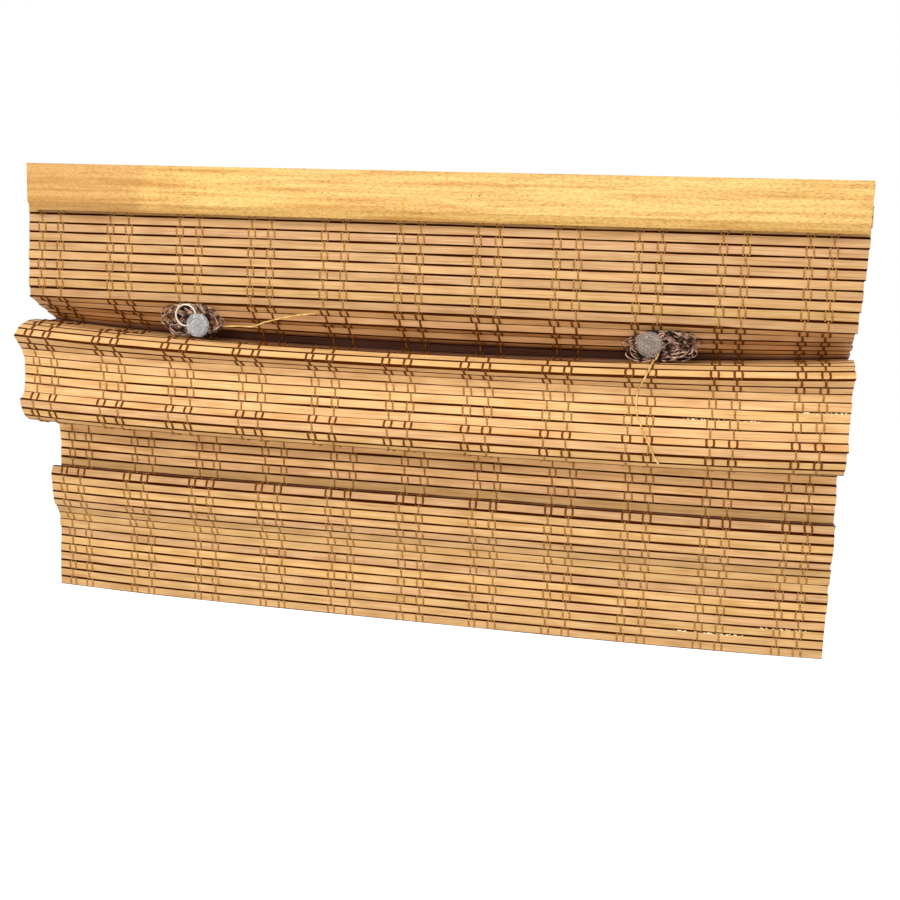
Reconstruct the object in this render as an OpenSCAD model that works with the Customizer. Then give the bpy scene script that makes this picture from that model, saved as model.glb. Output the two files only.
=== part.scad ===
// Bamboo roman shade, half raised, seen from its cord side.
// Frame: X along the slats, Y away from the viewer, Z up, zero at the centre of the rail's top face.
// Lengths are millimetres, fold angles are degrees from straight down, plus is away from the viewer.

/* [Rail] */
// Length of the wooden headrail
rail_length = 676; // [400:1:1200]
// Height of the headrail
rail_height = 38; // [28:0.5:60]
// Thickness of the headrail
rail_thickness = 14; // [12:0.5:25]
// Depth of the bevel along the lower near edge
rail_bevel = 5; // [1:0.5:6]
// Easing of the other long edges
rail_ease = 0.8; // [0.3:0.1:2]

/* [Slats] */
// Length of each bamboo slat
slat_length = 680; // [400:1:1200]
// Width of each slat
slat_width = 7.2; // [6:0.1:9]
// Thickness of each slat
slat_thickness = 1.2; // [0.8:0.1:1.6]
// Gap between slats where the mat is flat
slat_gap = 0.6; // [0.5:0.1:1.2]
// Sideways offset of the mat from the middle of the rail
mat_shift = -5; // [-10:0.5:10]
// Distance from the rail's top down to the first slat
mat_drop = 2; // [0.5:0.5:4]
// How far the middle of the span takes the sagged folds, as a share
mat_bow = 1; // [0:0.1:1]

/* [Warp] */
// Number of stitched groups across the mat
warp_groups = 11; // [5:1:11]
// Distance of the first group from the left slat ends
warp_inset = 21; // [15:0.5:30]
// Distance of the last group from the right slat ends
warp_inset_right = 29; // [15:0.5:35]
// Distance between the two columns of a group
warp_spread = 17; // [10:0.5:22]
// Width of one column
warp_width = 5; // [3:0.5:6]
// Thickness of the thread
warp_thickness = 0.5; // [0.3:0.1:0.6]

/* [Staples] */
// Number of staples holding the mat to the rail
staple_count = 8; // [4:1:10]
// Depth of the staple legs in the rail
staple_depth = 7; // [4:0.5:10]

/* [Discs] */
// Diameter of each clear disc
orb_diameter = 19.5; // [16:0.5:22]
// Thickness of each clear disc
orb_thickness = 6; // [4:0.5:7]
// Outer diameter of the thin ring
ring_diameter = 19; // [14:0.5:20]
// Wire thickness of the thin ring
ring_wire = 1.4; // [1:0.1:1.8]

/* [Cords] */
// Length of each tangle of lift cord
hank_length = 54; // [40:1:58]
// Depth and height of each tangle of lift cord
hank_height = 16; // [12:0.5:16]
// Diameter of the straw tie strands
tie_diameter = 1; // [0.6:0.1:1.2]

/* [Hidden] */
// Clearances
clear_warp = 0.45;
clear_seat = 0.7;
clear_fold = 0.2;
clear_leg = 0.05;
clear_rest = 0.3;

// Fold angles of the slats in each run, at the ends of the span and in the middle of it
ends_rail = [0, 0, 0, 0, 0];
ends_top = [-3, -5, -5, -4, -4, -4, -2, 3, 7];
ends_tuck = [66, 58, 64, 62, 66, 60];
ends_crest = [-88, -93, -95, -95, -92, -84, -75, -66, -50];
ends_front = [43, 46, 24, 8, 0, -4, -11, -46, 12];
ends_return = [33, 56, 78, 88, 91, 91, 88, 77, 36];
ends_back = [3, 1, 1, 2, 3, -62, -128];
ends_bottom = [-28, 6, 6, 16, 28, 30, 22, 3, 0, 0, 0, 0, 0, 0, 0];
mid_tuck = [47, 30, 68, 38, 57, 26];
mid_crest = [-70, -78, -88, -98, -104, -108, -98, -64, -54];
mid_front = [62, 60, 28, 8, -8, -10, -6, -52, 6];
mid_return = [30, 57, 83, 92, 95, 95, 91, 81, 34];

fold_ends = concat(ends_rail, ends_top, ends_tuck, ends_crest, ends_front, ends_return, ends_back,
    ends_bottom);
fold_mid = concat(ends_rail, ends_top, mid_tuck, mid_crest, mid_front, mid_return, ends_back,
    ends_bottom);
slat_count = len(fold_ends);

// First slat of each run
first_top = len(ends_rail);
first_tuck = first_top + len(ends_top);
first_crest = first_tuck + len(ends_tuck);
first_front = first_crest + len(ends_crest);
first_return = first_front + len(ends_front);
first_back = first_return + len(ends_return);
first_bottom = first_back + len(ends_back);

// Stations along the slats, as shares of the length from the middle
stations = [-1/2, -1/3, -1/6, 0, 1/6, 1/3, 1/2];
mat_start = [rail_thickness / 2 + clear_seat + slat_thickness / 2, -mat_drop];
half = slat_thickness / 2;

// Share of the sag at a place along the slats
function bow(s) = mat_bow * (1 - 4 * s * s);
// Fold angles at a station
function angles(s) = [for (i = [0:slat_count - 1]) fold_ends[i] + (fold_mid[i] - fold_ends[i]) * bow(s)];
// Gap between two slats, wide enough for the fold between them
function gap(a, b) = max(slat_gap, slat_thickness * tan(abs(a - b) / 2) + clear_fold);
function gap_before(t, i) = i == 0 ? 0 : gap(t[i - 1], t[i]) / 2;
function gap_after(t, i) = i == slat_count - 1 ? 0 : gap(t[i], t[i + 1]) / 2;
function along(a) = [sin(a), -cos(a)];
function nearward(a) = [-cos(a), -sin(a)];
// Joint points of the mat at a station, from the top edge to the bottom edge
function joints(t, i = 0, p = mat_start) = i == slat_count ? [p] :
    concat([p], joints(t, i + 1, p + along(t[i]) * (gap_before(t, i) + slat_width + gap_after(t, i))));
station_angles = [for (s = stations) angles(s)];
station_joints = [for (t = station_angles) joints(t)];

// Joint point at any place, on the straight slat between its two stations
function share(x) = min(5.999, max(0, ((x - mat_shift) / slat_length + 1/2) * 6));
function joint_at(x, i) = let (k = floor(share(x)), f = share(x) - k)
    station_joints[k][i] * (1 - f) + station_joints[k + 1][i] * f;
function heading(a, b) = atan2(b[0] - a[0], a[1] - b[1]);

// One slat as rings of four corners, one ring to a station
function slat_ring(k, i) = let (
        t = station_angles[k], u = along(t[i]), n = nearward(t[i]) * half,
        a = station_joints[k][i] + u * gap_before(t, i), b = a + u * slat_width,
        x = mat_shift + stations[k] * slat_length)
    [for (c = [a + n, b + n, b - n, a - n]) [x, c[0], c[1]]];

// Closed skin over rings of m points each, its four sided faces split alike on both halves
module skin(rings) {
    n = len(rings);
    m = len(rings[0]);
    points = [for (r = rings) each r];
    sides = [for (k = [0:n - 2], j = [0:m - 1])
        let (a = k * m + j, b = k * m + (j + 1) % m)
        each k < n / 2 - 1 ? [[a, b, a + m], [b, b + m, a + m]] : [[a, b, b + m], [a, b + m, a + m]]];
    caps = [[for (j = [m - 1:-1:0]) j], [for (j = [0:m - 1]) (n - 1) * m + j]];
    polyhedron(points = points, faces = concat(sides, caps), convexity = 10);
}

// Slats that no sag reaches are straight, so their two end rings are enough
module slat_run(first, count) {
    step = first < first_tuck ? len(stations) - 1 : 1;
    for (i = [first:first + count - 1])
        skin([for (k = [0:step:len(stations) - 1]) slat_ring(k, i)]);
}

// Column of thread on the near face of the mat, mitred at every fold
module warp_column(x) {
    first = first_top;
    p = [for (i = [first:slat_count]) joint_at(x, i)];
    n = len(p);
    h = [for (i = [0:n - 2]) heading(p[i], p[i + 1])];
    low = half + clear_warp;
    high = low + warp_thickness;
    keep = [for (i = [0:n - 1]) if (i == 0 || i == n - 1 || abs(h[i] - h[i - 1]) > 1.2) i];
    skin([for (i = keep)
        let (a = h[max(0, i - 1)], b = h[min(n - 2, i)],
            d = nearward((a + b) / 2) / cos((a - b) / 2),
            c = p[i] + d * low, e = p[i] + d * high)
        [[x - warp_width / 2, c[0], c[1]], [x + warp_width / 2, c[0], c[1]],
            [x + warp_width / 2, e[0], e[1]], [x - warp_width / 2, e[0], e[1]]]]);
}

warp_pitch = (slat_length - warp_inset - warp_inset_right) / (warp_groups - 1);
function group_x(g) = mat_shift - slat_length / 2 + warp_inset + g * warp_pitch;

module warp_group(g) {
    color("#8a6236")
        for (s = [-1, 1]) warp_column(group_x(g) + s * warp_spread / 2);
}

// Staples sit over the second slat, one leg in the gap on each side of it
leg_height = slat_gap - 2 * clear_leg - 0.1;
leg_width = 1;
crown = 0.6;
staple_y = mat_start[0] + half + clear_leg;
function staple_x(k) = mat_shift + ((k + 0.5) / staple_count - 0.5) * (slat_length - 2 * warp_inset);
function staple_z(k) = station_joints[0][k][1];

module staple_legs(grow) {
    for (k = [0:staple_count - 1], j = [1, 2])
        translate([staple_x(k) - leg_width / 2 - grow, rail_thickness / 2 - staple_depth - grow,
                staple_z(j) - leg_height / 2 - grow])
            cube([leg_width + 2 * grow, staple_y + crown - rail_thickness / 2 + staple_depth + grow,
                leg_height + 2 * grow]);
}

// Old staple holes in the near face, from the left
old_holes = [[-82, -18], [45, -18], [308, -24]];
hole_pair = 6;
hole_size = 1;
hole_depth = 3;

module headrail() {
    t = rail_thickness / 2;
    b = rail_bevel;
    e = rail_ease;
    color("#c8924a")
        difference() {
            rotate([90, 0, 90])
                translate([0, 0, -rail_length / 2])
                    linear_extrude(rail_length)
                        polygon([[-t + e, 0], [-t, -e], [-t, -rail_height + 1.4 * b],
                            [-t + b, -rail_height], [t - e, -rail_height],
                            [t, -rail_height + e], [t, -e], [t - e, 0]]);
            staple_legs(clear_leg);
            for (h = old_holes, s = [-1, 1])
                translate([h[0] + s * hole_pair / 2, -t - 1, h[1]])
                    rotate([-90, 0, 0])
                        cylinder(d = hole_size, h = hole_depth + 1, $fn = 16);
        }
}

module mat_staples() {
    color("#9a9690") {
        staple_legs(0);
        for (k = [0:staple_count - 1])
            translate([staple_x(k) - leg_width / 2, staple_y, staple_z(2) - leg_height / 2])
                cube([leg_width, crown, staple_z(1) - staple_z(2) + leg_height]);
    }
}

module slats_rail() { color("#b98a5c") slat_run(0, len(ends_rail)); }
module slats_top_panel() { color("#c2946a") slat_run(first_top, len(ends_top)); }
module slats_tuck() { color("#a97c50") slat_run(first_tuck, len(ends_tuck)); }
module slats_crest() { color("#b88c60") slat_run(first_crest, len(ends_crest)); }
module slats_front_panel() { color("#c59a6e") slat_run(first_front, len(ends_front)); }
module slats_return() { color("#a97c50") slat_run(first_return, len(ends_return)); }
module slats_back_panel() { color("#b98a5c") slat_run(first_back, len(ends_back)); }
module slats_bottom_panel() { color("#c2946a") slat_run(first_bottom, len(ends_bottom)); }

// Places in the tuck, tied to the crest under them: the tangles lie a slat behind the discs
left_x = -192;
right_x = 192;
function floor_z(x, i = 5) = joint_at(x, first_crest + i)[1] + half + clear_warp + warp_thickness;
function mouth_y(x) = joint_at(x, first_tuck)[0];

// Clear disc, rounded at the rim, with a shallow dish in each face
module orb(x, lift, out) {
    r = orb_diameter / 2;
    h = orb_thickness / 2;
    translate([x, mouth_y(x) - out - h, floor_z(x, 6) + r + lift])
        rotate([90, 0, 0])
            rotate_extrude($fn = 48)
                polygon([[0, h - 0.8], [0.55 * r, h - 0.8], [0.62 * r, h], [0.8 * r, h - 0.1],
                    [0.93 * r, h - 0.8], [r, 0.3 * h], [r, -0.3 * h], [0.93 * r, 0.8 - h],
                    [0.8 * r, 0.1 - h], [0.62 * r, -h], [0.55 * r, 0.8 - h], [0, 0.8 - h]]);
}

module orb_left() { color("#d9d6cd") orb(left_x + 4.5, clear_rest, 3.8); }
module orb_right() { color("#d9d6cd") orb(right_x - 8, 2.6, 1.7 + clear_rest); }

module ring_left() {
    x = left_x - 8;
    color("#d9d6cd")
        translate([x, mouth_y(x) - 2 - ring_wire / 2, floor_z(x, 6) + ring_diameter / 2 + 7.7])
            rotate([90, 0, 0])
                rotate_extrude($fn = 48)
                    translate([ring_diameter / 2 - ring_wire / 2, 0])
                        circle(d = ring_wire, $fn = 12);
}

// Tangle of cord as one lumpy closed body that lies on the crest behind its disc
module hank(x, turn) {
    n = 10;
    m = 12;
    r = hank_height / 2;
    skin([for (k = [0:n])
        let (s = k / n * 1.96 - 0.98, w = sqrt(1 - s * s), q = 0.9 + 0.1 * sin(turn + 260 * s),
            px = x + s * hank_length / 2, low = floor_z(px, 4) + 2 * clear_rest)
        [for (j = [0:m - 1]) let (a = -360 * j / m)
            [px, mouth_y(px) + r - 1.7 + r * w * q * cos(a), max(low, low + 0.86 * r + r * w * q * sin(a))]]]);
}

module lift_cord_left() { color("#6b4526") hank(left_x - 4, 40); }
module lift_cord_right() { color("#6b4526") hank(right_x + 2, 200); }

// Straw strand through route points, as an eight sided tube
function blend(p, i, f) = let (
        a = p[max(0, i - 1)], b = p[i], c = p[i + 1], d = p[min(len(p) - 1, i + 2)])
    ((2 * b) + (c - a) * f + (2 * a - 5 * b + 4 * c - d) * f * f + (3 * b - a - 3 * c + d) * f * f * f) / 2;
function unit(v) = v / norm(v);

module strand(route, across) {
    steps = 3;
    p = concat([for (i = [0:len(route) - 2], k = [0:steps - 1]) blend(route, i, k / steps)],
        [route[len(route) - 1]]);
    n = len(p);
    skin([for (i = [0:n - 1])
        let (t = unit(p[min(n - 1, i + 1)] - p[max(0, i - 1)]),
            u = unit(cross(t, across)), v = cross(u, t))
        [for (j = [0:7]) p[i] + tie_diameter / 2 * (u * cos(45 * j) + v * sin(45 * j))]]);
}

// Left strand: from the tangle to the edge of the tuck
tie_left_x = [-169.2, -164, -156, -146, -133, -119, -104, -94, -88, -85];
tie_left_y = [6.3, 4, -2, -6, -9, -9, -7, -4, 0, 2.4];
tie_left_z = [6.2, 7.4, 10, 12, 14.5, 19, 24, 26.8, 28, 28.4];
tie_left_route = [for (k = [0:len(tie_left_x) - 1])
    [tie_left_x[k], mouth_y(tie_left_x[k]) + tie_left_y[k], floor_z(tie_left_x[k]) + tie_left_z[k]]];

// Right strand: distances out from the mat at the joints it passes, then its loose end
tie_right_x = [189, 189, 188, 187, 184, 181, 179, 178, 178, 179, 182, 185, 189, 193.5, 198];
tie_right_out = [2.6, 2.8, 2.6, 2.6, 2.6, 1.8, 1.8, 1.6, 1.5, 1.5, 1.6, 2.2, 2.8, 3, 3];
tie_right_route = [for (k = [0:len(tie_right_x) - 1])
    let (x = tie_right_x[k], i = first_crest + 5 + k, p = joint_at(x, i),
        a = heading(joint_at(x, i - 1), p), b = heading(p, joint_at(x, i + 1)),
        q = p + nearward((a + b) / 2) * tie_right_out[k] / max(0.55, cos((a - b) / 2)))
    [x, q[0], q[1]]];

module tie_left() { color("#d8c69a") strand(tie_left_route, [0, 0, 1]); }
module tie_right() { color("#d8c69a") strand(tie_right_route, [1, 0, 0]); }

headrail();
mat_staples();
slats_rail();
slats_top_panel();
slats_tuck();
slats_crest();
slats_front_panel();
slats_return();
slats_back_panel();
slats_bottom_panel();
warp_group(0);  // warp_01
warp_group(1);  // warp_02
warp_group(2);  // warp_03
warp_group(3);  // warp_04
warp_group(4);  // warp_05
warp_group(5);  // warp_06
warp_group(6);  // warp_07
warp_group(7);  // warp_08
warp_group(8);  // warp_09
warp_group(9);  // warp_10
warp_group(10);  // warp_11
orb_left();
orb_right();
ring_left();
lift_cord_left();
lift_cord_right();
tie_left();
tie_right();
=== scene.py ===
"""Bamboo roman shade, half raised: the finish of its slats, threads, rail, discs and cords."""

import math
import random
from functools import lru_cache
from itertools import groupby

import bmesh
import bpy
from mathutils import Euler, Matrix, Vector


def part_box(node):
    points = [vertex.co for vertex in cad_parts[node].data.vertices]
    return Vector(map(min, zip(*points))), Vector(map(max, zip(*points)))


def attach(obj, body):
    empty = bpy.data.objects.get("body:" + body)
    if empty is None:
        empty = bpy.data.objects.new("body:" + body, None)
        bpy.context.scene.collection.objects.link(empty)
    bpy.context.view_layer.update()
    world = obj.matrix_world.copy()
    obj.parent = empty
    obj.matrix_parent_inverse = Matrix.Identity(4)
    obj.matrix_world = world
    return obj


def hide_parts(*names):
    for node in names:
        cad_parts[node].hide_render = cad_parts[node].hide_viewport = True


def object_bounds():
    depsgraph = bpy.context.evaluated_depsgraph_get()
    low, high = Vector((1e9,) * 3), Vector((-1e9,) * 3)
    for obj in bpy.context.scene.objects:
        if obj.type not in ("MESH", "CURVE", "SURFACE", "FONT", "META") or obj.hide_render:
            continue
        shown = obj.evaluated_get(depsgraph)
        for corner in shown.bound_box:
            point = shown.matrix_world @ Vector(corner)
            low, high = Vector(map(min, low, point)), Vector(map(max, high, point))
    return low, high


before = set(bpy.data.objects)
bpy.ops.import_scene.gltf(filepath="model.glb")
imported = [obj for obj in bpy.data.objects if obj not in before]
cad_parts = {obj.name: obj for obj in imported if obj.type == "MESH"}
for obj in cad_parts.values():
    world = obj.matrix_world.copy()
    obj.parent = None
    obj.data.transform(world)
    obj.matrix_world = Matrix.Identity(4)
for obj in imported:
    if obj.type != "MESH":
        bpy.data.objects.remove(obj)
CAD_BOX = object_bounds()

bl_info = {
    "name": "Bamboo roman shade",
    "version": (1, 0, 0),
    "blender": (4, 5, 0),
    "location": "View3D > Sidebar > Shade",
    "description": "Dresses a half raised bamboo shade: slats, threads, rail, discs and cords",
    "category": "Object",
}

MM = 0.001


def linear(code):
    """An sRGB hex colour as linear red, green, blue and alpha."""
    shares = [int(code[k:k + 2], 16) / 255 for k in (1, 3, 5)]
    curve = [s / 12.92 if s <= 0.04045 else ((s + 0.055) / 1.055) ** 2.4 for s in shares]
    return (*curve, 1.0)


# Fold angles of the slats in each run, in degrees from straight down, plus is away from the viewer
RUNS = ("rail", "top_panel", "tuck", "crest", "front_panel", "return", "back_panel", "bottom_panel")
FOLDS_AT_ENDS = {
    "rail": (0, 0, 0, 0, 0),
    "top_panel": (-3, -5, -5, -4, -4, -4, -2, 3, 7),
    "tuck": (66, 58, 64, 62, 66, 60),
    "crest": (-88, -93, -95, -95, -92, -84, -75, -66, -50),
    "front_panel": (43, 46, 24, 8, 0, -4, -11, -46, 12),
    "return": (33, 56, 78, 88, 91, 91, 88, 77, 36),
    "back_panel": (3, 1, 1, 2, 3, -62, -128),
    "bottom_panel": (-28, 6, 6, 16, 28, 30, 22, 3, 0, 0, 0, 0, 0, 0, 0),
}
FOLDS_IN_MIDDLE = FOLDS_AT_ENDS | {
    "tuck": (47, 30, 68, 38, 57, 26),
    "crest": (-70, -78, -88, -98, -104, -108, -98, -64, -54),
    "front_panel": (62, 60, 28, 8, -8, -10, -6, -52, 6),
    "return": (30, 57, 83, 92, 95, 95, 91, 81, 34),
}
ANGLES_AT_ENDS = [a for run in RUNS for a in FOLDS_AT_ENDS[run]]
ANGLES_IN_MIDDLE = [a for run in RUNS for a in FOLDS_IN_MIDDLE[run]]
SLAT_COUNT = len(ANGLES_AT_ENDS)
FIRST = {run: sum(len(FOLDS_AT_ENDS[r]) for r in RUNS[:k]) for k, run in enumerate(RUNS)}

# Sizes of the construction, in metres
MAT_LOW, MAT_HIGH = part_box("slats_top_panel")
MAT_LENGTH = MAT_HIGH.x - MAT_LOW.x
MAT_MIDDLE = (MAT_HIGH.x + MAT_LOW.x) / 2
RAIL_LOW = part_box("headrail")[0]
SLAT_WIDTH = 7.2 * MM
SLAT_THICKNESS = 1.2 * MM
SLAT_GAP = 0.6 * MM
EDGE_ROUND = 0.3 * MM
FOLD_CLEARANCE = 0.2 * MM
WARP_GROUPS = 11
# Top edge of the mat, in (y, z)
MAT_START = Vector((8.3 * MM, -2 * MM))
# How far threads stand out of a slat's face, and how far cords keep in front of the tuck's joints
THREAD_STAND = 0.95 * MM
TUCK_CLEARANCE = 3.2 * MM
# Joint of the crest where the cords lie and the right tie sets out
SEAT = FIRST["crest"] + 5


def along(angle):
    """Direction down a slat, in (y, z)."""
    return Vector((math.sin(angle), -math.cos(angle)))


def nearward(angle):
    """Direction out of a slat's near face, in (y, z)."""
    return Vector((-math.cos(angle), -math.sin(angle)))


def fold_gap(a, b):
    """Gap between two slats, wide enough for the fold between them."""
    return max(SLAT_GAP, SLAT_THICKNESS * math.tan(abs(a - b) / 2) + FOLD_CLEARANCE)


@lru_cache(maxsize=None)
def fold_line(x):
    """Joint points (y, z), slat angles and gaps of the mat at x, from its top edge down."""
    share = (x - MAT_MIDDLE) / MAT_LENGTH
    sag = 1 - 4 * share * share
    angles = [math.radians(e + (m - e) * sag) for e, m in zip(ANGLES_AT_ENDS, ANGLES_IN_MIDDLE)]
    gaps = [0.0, *(fold_gap(a, b) for a, b in zip(angles, angles[1:])), 0.0]
    joints = [MAT_START]
    for k, angle in enumerate(angles):
        step = gaps[k] / 2 + SLAT_WIDTH + gaps[k + 1] / 2
        joints.append(joints[-1] + along(angle) * step)
    return joints, angles, gaps


def crest_floor(x):
    """Height of the thread faces on the crest, where the cords lie."""
    return fold_line(x)[0][SEAT].y + SLAT_THICKNESS / 2 + THREAD_STAND


def tuck_mouth(x):
    """How far back the lower edge of the top panel is."""
    return fold_line(x)[0][FIRST["tuck"]].x


def tuck_face(x, z):
    """How far back a cord can lie in the tuck at height z, clear of its threads."""
    joints = fold_line(x)[0][FIRST["tuck"]:FIRST["crest"] + 1]
    for a, b in zip(joints, joints[1:]):
        if b.y <= z:
            break
    return a.x + (b.x - a.x) * (a.y - z) / (a.y - b.y) - TUCK_CLEARANCE


def length(name, description, default):
    """A length setting in metres."""
    return bpy.props.FloatProperty(
        name=name, description=description, default=default, min=0, unit="LENGTH")


class SHADE_PG_sizes(bpy.types.PropertyGroup):
    """Sizes of the dressed pieces."""

    slat_edge_gap: length("Slat edge gap", "Groove left between two flat slats", 0.3 * MM)
    slat_round: length("Slat edge round", "Rounding of the slats' near edges", EDGE_ROUND)
    slat_stations: bpy.props.IntProperty(
        name="Slat stations", description="Bends along each slat", default=40, min=6)
    thread_diameter: length("Thread diameter", "Thickness of the warp thread", 1.35 * MM)
    thread_spread: length(
        "Thread spread", "Distance of a column's outer threads from its middle", 2.9 * MM)
    column_spread: length("Column spread", "Distance between the two columns of a group", 17 * MM)
    first_group: length("First group", "Distance of the first group from the left slat ends", 21 * MM)
    last_group: length("Last group", "Distance of the last group from the right slat ends", 29 * MM)
    cord_diameter: length("Lift cord diameter", "Thickness of the lift cord", 0.8 * MM)
    tie_diameter: length("Tie diameter", "Thickness of the straw ties", 1.25 * MM)
    floor_height: bpy.props.FloatProperty(
        name="Floor height", description="Height of the floor under the hung shade",
        default=-0.9, unit="LENGTH")


def colour(name, description, code):
    """A colour setting with its default given as sRGB hex."""
    return bpy.props.FloatVectorProperty(
        name=name, description=description, subtype="COLOR", size=4, default=linear(code), min=0, max=1)


class SHADE_PG_colours(bpy.types.PropertyGroup):
    """Colours of the finishes."""

    bamboo_gold: colour("Bamboo gold", "Golden slats", "#ebb66c")
    bamboo_pink: colour("Bamboo pink", "Pinkish tan slats", "#e2ab78")
    bamboo_pale: colour("Bamboo pale", "Pale streaks in the slats", "#f6cf9a")
    # The edge colour is partly stain and partly painted shade of the gaps between slats
    bamboo_edge: colour("Bamboo edge", "Stained edges of the slats", "#4c1f02")
    # Painted glints, where light shows through the gaps between slats
    bamboo_glint: colour("Bamboo bare", "Painted glints along the slats' edges", "#f8e0b4")
    thread: colour("Warp thread", "Dyed thread", "#c28c48")
    thread_dark: colour("Warp thread shade", "Hollows between the thread's plies", "#8e602e")
    # Painted shade of the thread on the folds
    thread_fold_shade: colour("Thread in fold shade", "Thread darkened on the folds", "#8a5014")
    pine: colour("Pine", "Varnished pine of the rail", "#e9bd6c")
    pine_grain: colour("Pine grain", "Late wood lines of the rail", "#c8923f")
    pine_soil: colour("Pine soil", "Handling marks on the rail", "#a9703a")
    # The lift cord's near-black colour is painted shade in its plies' hollows and inside the nests; the
    # next is a painted highlight on the plies
    cord: colour("Lift cord", "Lift cord", "#1e0e07")
    cord_highlight: colour("Lift cord pale", "Painted highlight on the lift cord's plies", "#dcb29c")
    straw: colour("Straw", "Straw ties", "#f0d28c")
    clear: colour("Clear plastic", "Frosted disc", "#f4f6f8")
    clear_warm: colour("Clear plastic, aged", "Clear disc", "#efe2d6")
    ring: colour("Ring", "Thin cream ring", "#e4d8c0")
    steel: colour("Steel", "Staple wire", "#b9b6b0")
    floor: colour("Floor", "Pale floor", "#f4f3f0")


def new_material(name):
    """A material with an empty node tree and its shader and output in place."""
    made = bpy.data.materials.new(name)
    made.use_nodes = True
    tree = made.node_tree
    tree.nodes.clear()
    shader = add(tree, "ShaderNodeBsdfPrincipled")
    add(tree, "ShaderNodeOutputMaterial", {"Surface": shader.outputs["BSDF"]})
    return made, tree, shader


def add(tree, kind, inputs=None, ramp=None, **settings):
    """Adds a node with its settings, the two stops of its ramp, and its inputs as values or links."""
    made = tree.nodes.new(kind)
    for key, value in settings.items():
        setattr(made, key, value)
    if ramp:
        for element, (place, shade) in zip(made.color_ramp.elements, ramp):
            element.position = place
            element.color = shade
    plug(tree, made, inputs or {})
    return made


def plug(tree, made, inputs):
    """Sets a node's inputs to values, or links them from other nodes' sockets."""
    for key, value in inputs.items():
        if isinstance(value, bpy.types.NodeSocket):
            tree.links.new(value, made.inputs[key])
        else:
            made.inputs[key].default_value = value


WHITE = (1.0, 1.0, 1.0, 1.0)
BLACK = (0.0, 0.0, 0.0, 1.0)
# Shares of the colour left in the slats' dark fibres, in their blotches and in the rail's open pores
FIBRE_SHADE = (0.62, 0.55, 0.48, 1.0)
BLOTCH_SHADE = (0.84, 0.8, 0.76, 1.0)
PORE_SHADE = (0.72, 0.64, 0.54, 1.0)
# Dark edges of a slat, partly stain and partly painted shade of the gaps between slats: where they set in
# and are full, in widths from its middle, and their wander
EDGE_SETS_IN = 0.48
EDGE_FULL = 0.525
EDGE_WANDER = 0.2
# Painted glints on a slat: the speck noise at which they set in and are full
GLINT_SETS_IN = 0.5
GLINT_FULL = 0.56
# Tone at which the painted shade counts as deep and as plain, and the hue at each, where 0.5 leaves it
SHADE_DEEP = 0.1
SHADE_PLAIN = 0.7
HUE_DEEP = 0.463
HUE_PLAIN = 0.5
SLAT_SHINE = 0.25
# Noise at which a thread's ply is fully pale, as a painted highlight
PLY_HIGHLIGHT = 0.64
# Soil at the rail's left end: where it is full and gone, how ragged its border is, and its share
SOIL_FULL = 150 * MM
SOIL_GONE = 220 * MM
SOIL_RAGGED = 160 * MM
SOIL_SHARE = 0.45


def grain_scale(length, width):
    """Scale for marks of a length and width on the slats' map: metres along, slats across."""
    return (1 / length, SLAT_WIDTH / width, 1)


def streak_scale(length, width):
    """Scale for marks of a length along the rail and a width across it."""
    return (1 / length, 1 / width, 1 / width)


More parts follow.
